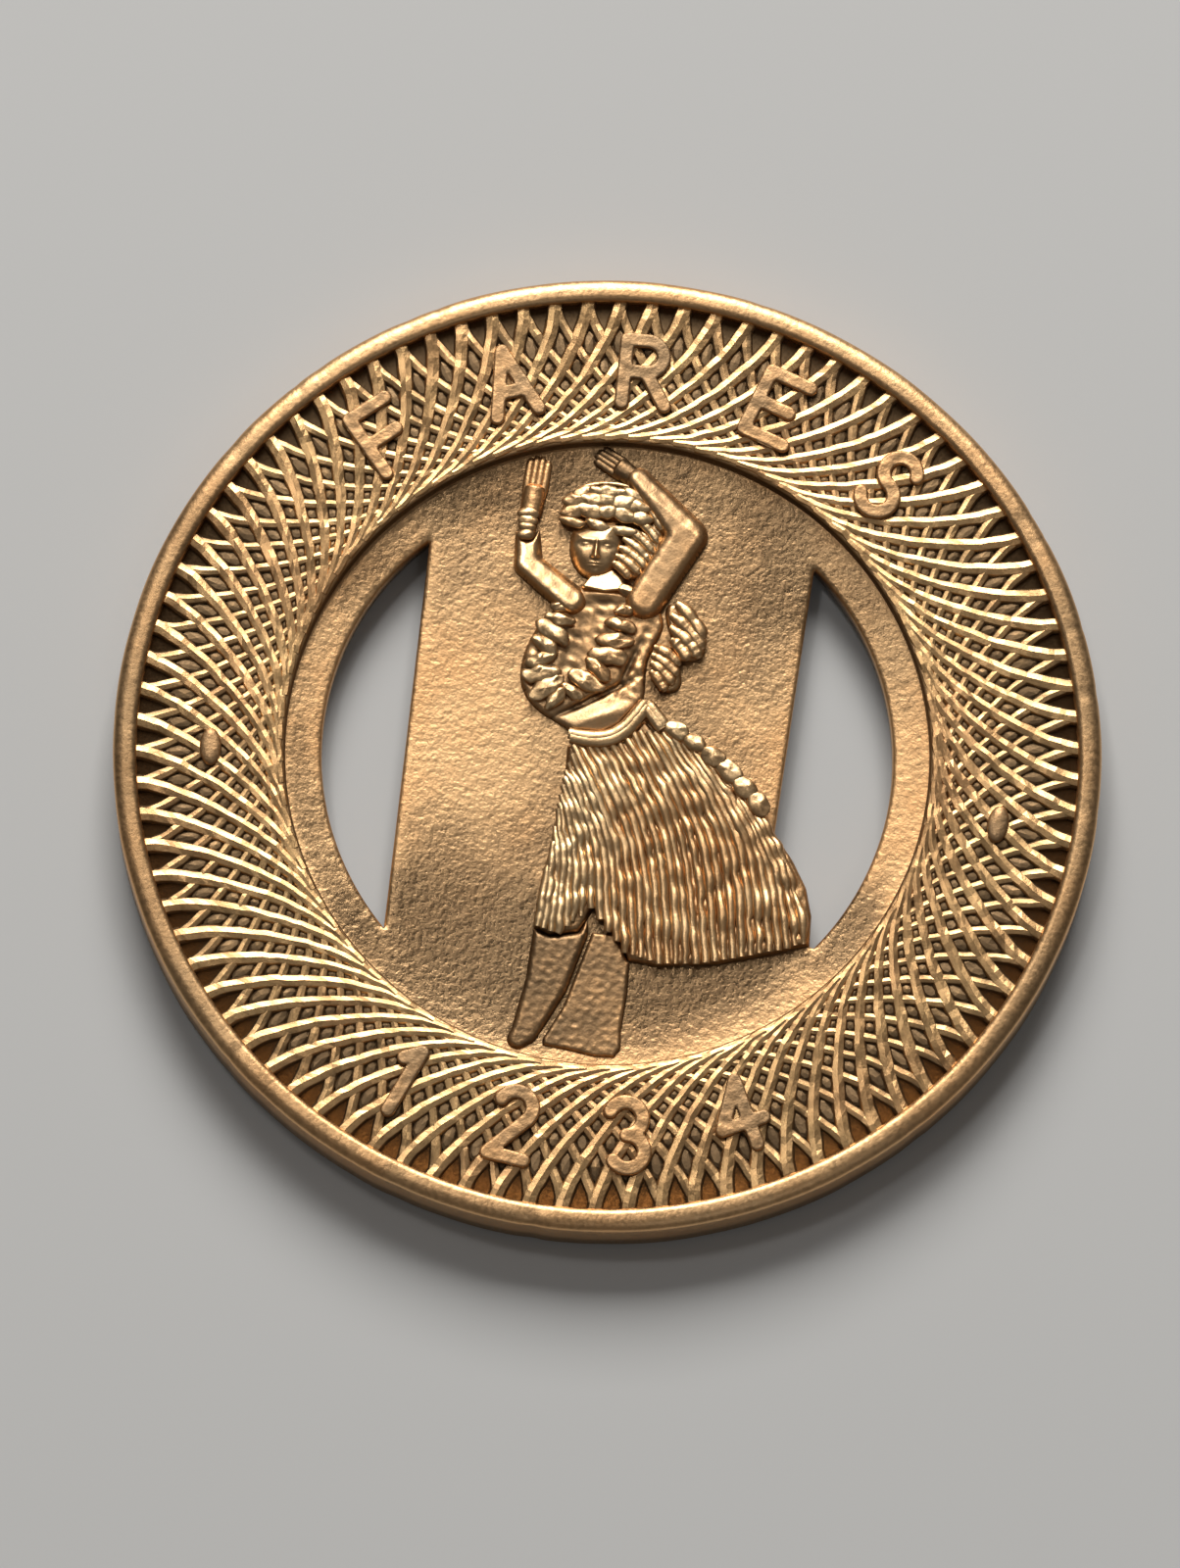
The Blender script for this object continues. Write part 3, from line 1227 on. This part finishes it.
def hand(name, node, wrist, tip, width, spread, seed):
    """A palm and four fingers from the wrist towards the tip."""
    wrist, tip = Vector(wrist), Vector(tip)
    way = tip - wrist
    across = Vector((-way.y, way.x)).normalized() * width
    z = field_top + 0.07
    lines = [([(*wrist, z), (*(wrist + way * 0.28), z), (*(wrist + way * 0.52), z)], width * 1.05)]
    for k in range(4):
        s = (k - 1.5) / 1.5
        root = wrist + way * 0.30 + across * s * 0.72
        end = tip + across * s * spread - way * 0.06 * s * s
        middle = (root + end) / 2 + across * s * 0.06
        lines.append(([(*root, z), (*middle, z + 0.02), (*end, z - 0.02)], width * 0.40))
    thumb = wrist + way * 0.30 - across * 0.9
    lines.append(([(*(wrist + way * 0.15), z), (*thumb, z), (*(thumb + way * 0.24), z - 0.02)], width * 0.32))
    piece = strands.make(
        guide_lines(name, lines),
        Flatness=0.75, Root_share=0.9, Tip_share=0.6, Lump_depth=0.15, Lump_size=0.2 * MM, Wander=0.01 * MM,
        Seed=float(seed), Finish=cloth_finish,
    )
    return finish_piece(piece, [node], sharpness=8)


hand("hand_open", "open_hand", (-2.36, 5.55), (-2.26, 7.06), 0.26, 0.78, 5)
hand("hand_raised", "raised_hand", (0.04, 6.70), (-0.96, 7.28), 0.25, 0.7, 6)

# %% [markdown]
# The hair is drawn back and down behind the head, and two long locks hang over the shoulder. A carved
# surface alone would look like a cap, so the base is a low rounded shape, and strands lie over it side by
# side, combed from one line to another.

# %% Hair
limb("hair_ground", "dancer_hair", 0.22, 0.20)
limb("lock_ground", "hair_tail", 0.16, 0.14)


def combed(name, start_line, end_line, count, radius, rise, seed, bow=0.0, stands_for=()):
    """Strands from one line of starts to one line of ends."""
    starts, ends = np.array(start_line, float), np.array(end_line, float)
    lines = []
    for k in range(count):
        t = k / (count - 1) * (len(starts) - 1)
        i = min(int(t), len(starts) - 2)
        a = starts[i] + (starts[i + 1] - starts[i]) * (t - i)
        b = ends[i] + (ends[i + 1] - ends[i]) * (t - i)
        way = b - a
        middle = (a + b) / 2 + np.array((-way[1], way[0])) * bow
        lines.append(([(*a, rise), (*middle, rise + 0.02), (*b, rise)], radius))
    piece = strands.make(
        guide_lines(name, lines),
        Flatness=0.62, Root_share=0.55, Tip_share=0.5, Lump_depth=0.6, Lump_size=0.25 * MM, Wander=0.04 * MM,
        Seed=float(seed), Finish=figure_finish,
    )
    return finish_piece(piece, list(stands_for), sharpness=8)


combed(
    "hair_strands",
    [(0.20, 6.20), (-0.02, 5.55), (-0.14, 5.20), (-0.24, 4.86), (-0.34, 4.60)],
    [(0.74, 5.50), (0.66, 5.02), (0.52, 4.72), (0.44, 4.44), (0.12, 4.24)],
    7, 0.115, field_top + 0.24, 11, 0.10,
)
combed(
    "long_lock",
    [(1.26, 3.76), (1.16, 3.46), (1.16, 3.16), (1.22, 2.86)],
    [(1.96, 2.96), (1.98, 2.70), (1.92, 2.48), (1.66, 2.40)],
    4, 0.17, field_top + 0.20, 13, 0.12,
)
combed(
    "short_lock",
    [(0.84, 2.66), (0.78, 2.36), (0.82, 2.06)],
    [(1.48, 2.26), (1.44, 1.88), (1.20, 1.60)],
    4, 0.14, field_top + 0.19, 14, 0.10,
)

# %% [markdown]
# Flowers make the headband, the garland round the neck and the one at the wrist. Struck this small, a
# flower is a row of plump petals. Petals set one by one would all need a place and a turn, so the petal
# recipe walks along a line, sets a petal at each step, and turns and sizes each one a little differently.

# %% Petal recipe
petals = Recipe(
    "petals", True,
    Count="int", Length="float", Width="float", Height="float", Turn="float", Size_change="float",
    Turn_change="float", Lump="float", Seed="int", Finish="material",
)
g = petals.given
walk = petals.node("GeometryNodeCurveToPoints", {"Curve": g["Shape"], "Count": g["Count"]}, mode="COUNT")
heading = petals.node("ShaderNodeSeparateXYZ", {0: walk.outputs["Tangent"]})
heading = petals.maths("ARCTAN2", heading.outputs[1], heading.outputs[0])


def petal_chance(spread, extra):
    """A random number for each petal, up to the spread to either side."""
    seed = petals.plus(g["Seed"], extra)
    made = petals.node("FunctionNodeRandomValue", {"Seed": seed}, data_type="FLOAT")
    petals.put(made.inputs[2], petals.times(spread, -1.0))
    petals.put(made.inputs[3], spread)
    return made.outputs[1]


facing = petals.plus(petals.plus(heading, g["Turn"]), petal_chance(g["Turn_change"], 1.0))
size = petals.plus(1.0, petal_chance(g["Size_change"], 2.0))
ball = petals.node("GeometryNodeMeshUVSphere", {"Segments": 20, "Rings": 12, "Radius": 0.5}).outputs[0]
petal_size = petals.vector(g["Length"], g["Width"], g["Height"])
ball = petals.node("GeometryNodeTransform", {"Geometry": ball, "Scale": petal_size}).outputs[0]
laid = petals.node(
    "GeometryNodeInstanceOnPoints",
    {
        "Points": walk.outputs["Points"],
        "Instance": ball,
        "Rotation": petals.vector(z=facing),
        "Scale": petals.vector(size, size, 1.0),
    },
)
petals.end(petals.uneven(laid.outputs[0], 0.24, g["Lump"]))
print("petal recipe:", len(petals.tree.nodes), "nodes, inputs", ", ".join(petals.ids))

# %% [markdown]
# The rows of petals follow the head, the chest and the wrist. Each row keeps its own count and petal size,
# because one size for all would look machine-made. Crosswise petals overlap into a thick garland, and
# short round ones make the beads on the hip.

# %% Flowers and beads


def flowers(name, rows, stands_for=(), **sizes):
    """Petals along one or more lines of (x, y, z) points."""
    piece = petals.make(guide_lines(name, [(row, 1.0) for row in rows]), Finish=figure_finish, **sizes)
    return finish_piece(piece, list(stands_for), sharpness=8)


def at_height(z, *places):
    """Points of (x, y) at one height."""
    return [(x, y, z) for x, y in places]


band_z = field_top + 0.30
flowers(
    "headband_flowers",
    [
        [(-1.36, 5.72, band_z), (-0.60, 5.84, band_z + 0.04), (0.22, 5.70, band_z)],
        [(-1.34, 5.98, band_z), (-0.60, 6.12, band_z + 0.04), (0.14, 5.98, band_z)],
        [(-1.16, 6.20, band_z - 0.04), (-0.56, 6.34, band_z), (0.00, 6.22, band_z - 0.04)],
    ],
    ["flower_headband"],
    Count=5, Length=0.62 * MM, Width=0.34 * MM, Height=0.18 * MM, Turn=0.0, Size_change=0.22,
    Turn_change=radians(16), Lump=0.11 * MM, Seed=3,
)
brow_z = field_top + 0.34
flowers(
    "fringe_flowers",
    [[(-1.36, 5.46, brow_z - 0.05), (-0.80, 5.44, brow_z), (-0.16, 5.36, brow_z - 0.05)]],
    Count=3, Length=0.66 * MM, Width=0.24 * MM, Height=0.16 * MM, Turn=radians(-6), Size_change=0.12,
    Turn_change=radians(10), Lump=0.10 * MM, Seed=8,
)
chest_z = field_top + 0.24
flowers(
    "neck_garland_flowers",
    [
        at_height(chest_z, (-1.36, 3.42), (-1.42, 2.90), (-1.80, 2.30), (-1.76, 1.60), (-1.35, 1.12)),
        at_height(chest_z, (0.22, 3.86), (0.02, 3.20), (-0.10, 2.60), (-0.34, 1.96), (-0.95, 1.36)),
    ],
    ["neck_garland"],
    Count=8, Length=0.80 * MM, Width=0.36 * MM, Height=0.20 * MM, Turn=radians(100), Size_change=0.26,
    Turn_change=radians(20), Lump=0.18 * MM, Seed=6,
)
wrist_z = field_top + 0.24
flowers(
    "wrist_flowers",
    [at_height(wrist_z, (-2.40, 5.58), (-2.40, 5.06))],
    ["wrist_garland"],
    Count=4, Length=0.50 * MM, Width=0.30 * MM, Height=0.18 * MM, Turn=radians(90), Size_change=0.15,
    Turn_change=radians(18), Lump=0.08 * MM, Seed=5,
)
hip_z = field_top + 0.30
flowers(
    "hip_beads_struck",
    [at_height(hip_z, (1.56, 0.66), (2.40, 0.18), (3.06, -0.36), (3.62, -0.92))],
    ["hip_beads"],
    Count=6, Length=0.58 * MM, Width=0.42 * MM, Height=0.16 * MM, Turn=0.0, Size_change=0.24,
    Turn_change=radians(24), Lump=0.12 * MM, Seed=9,
)
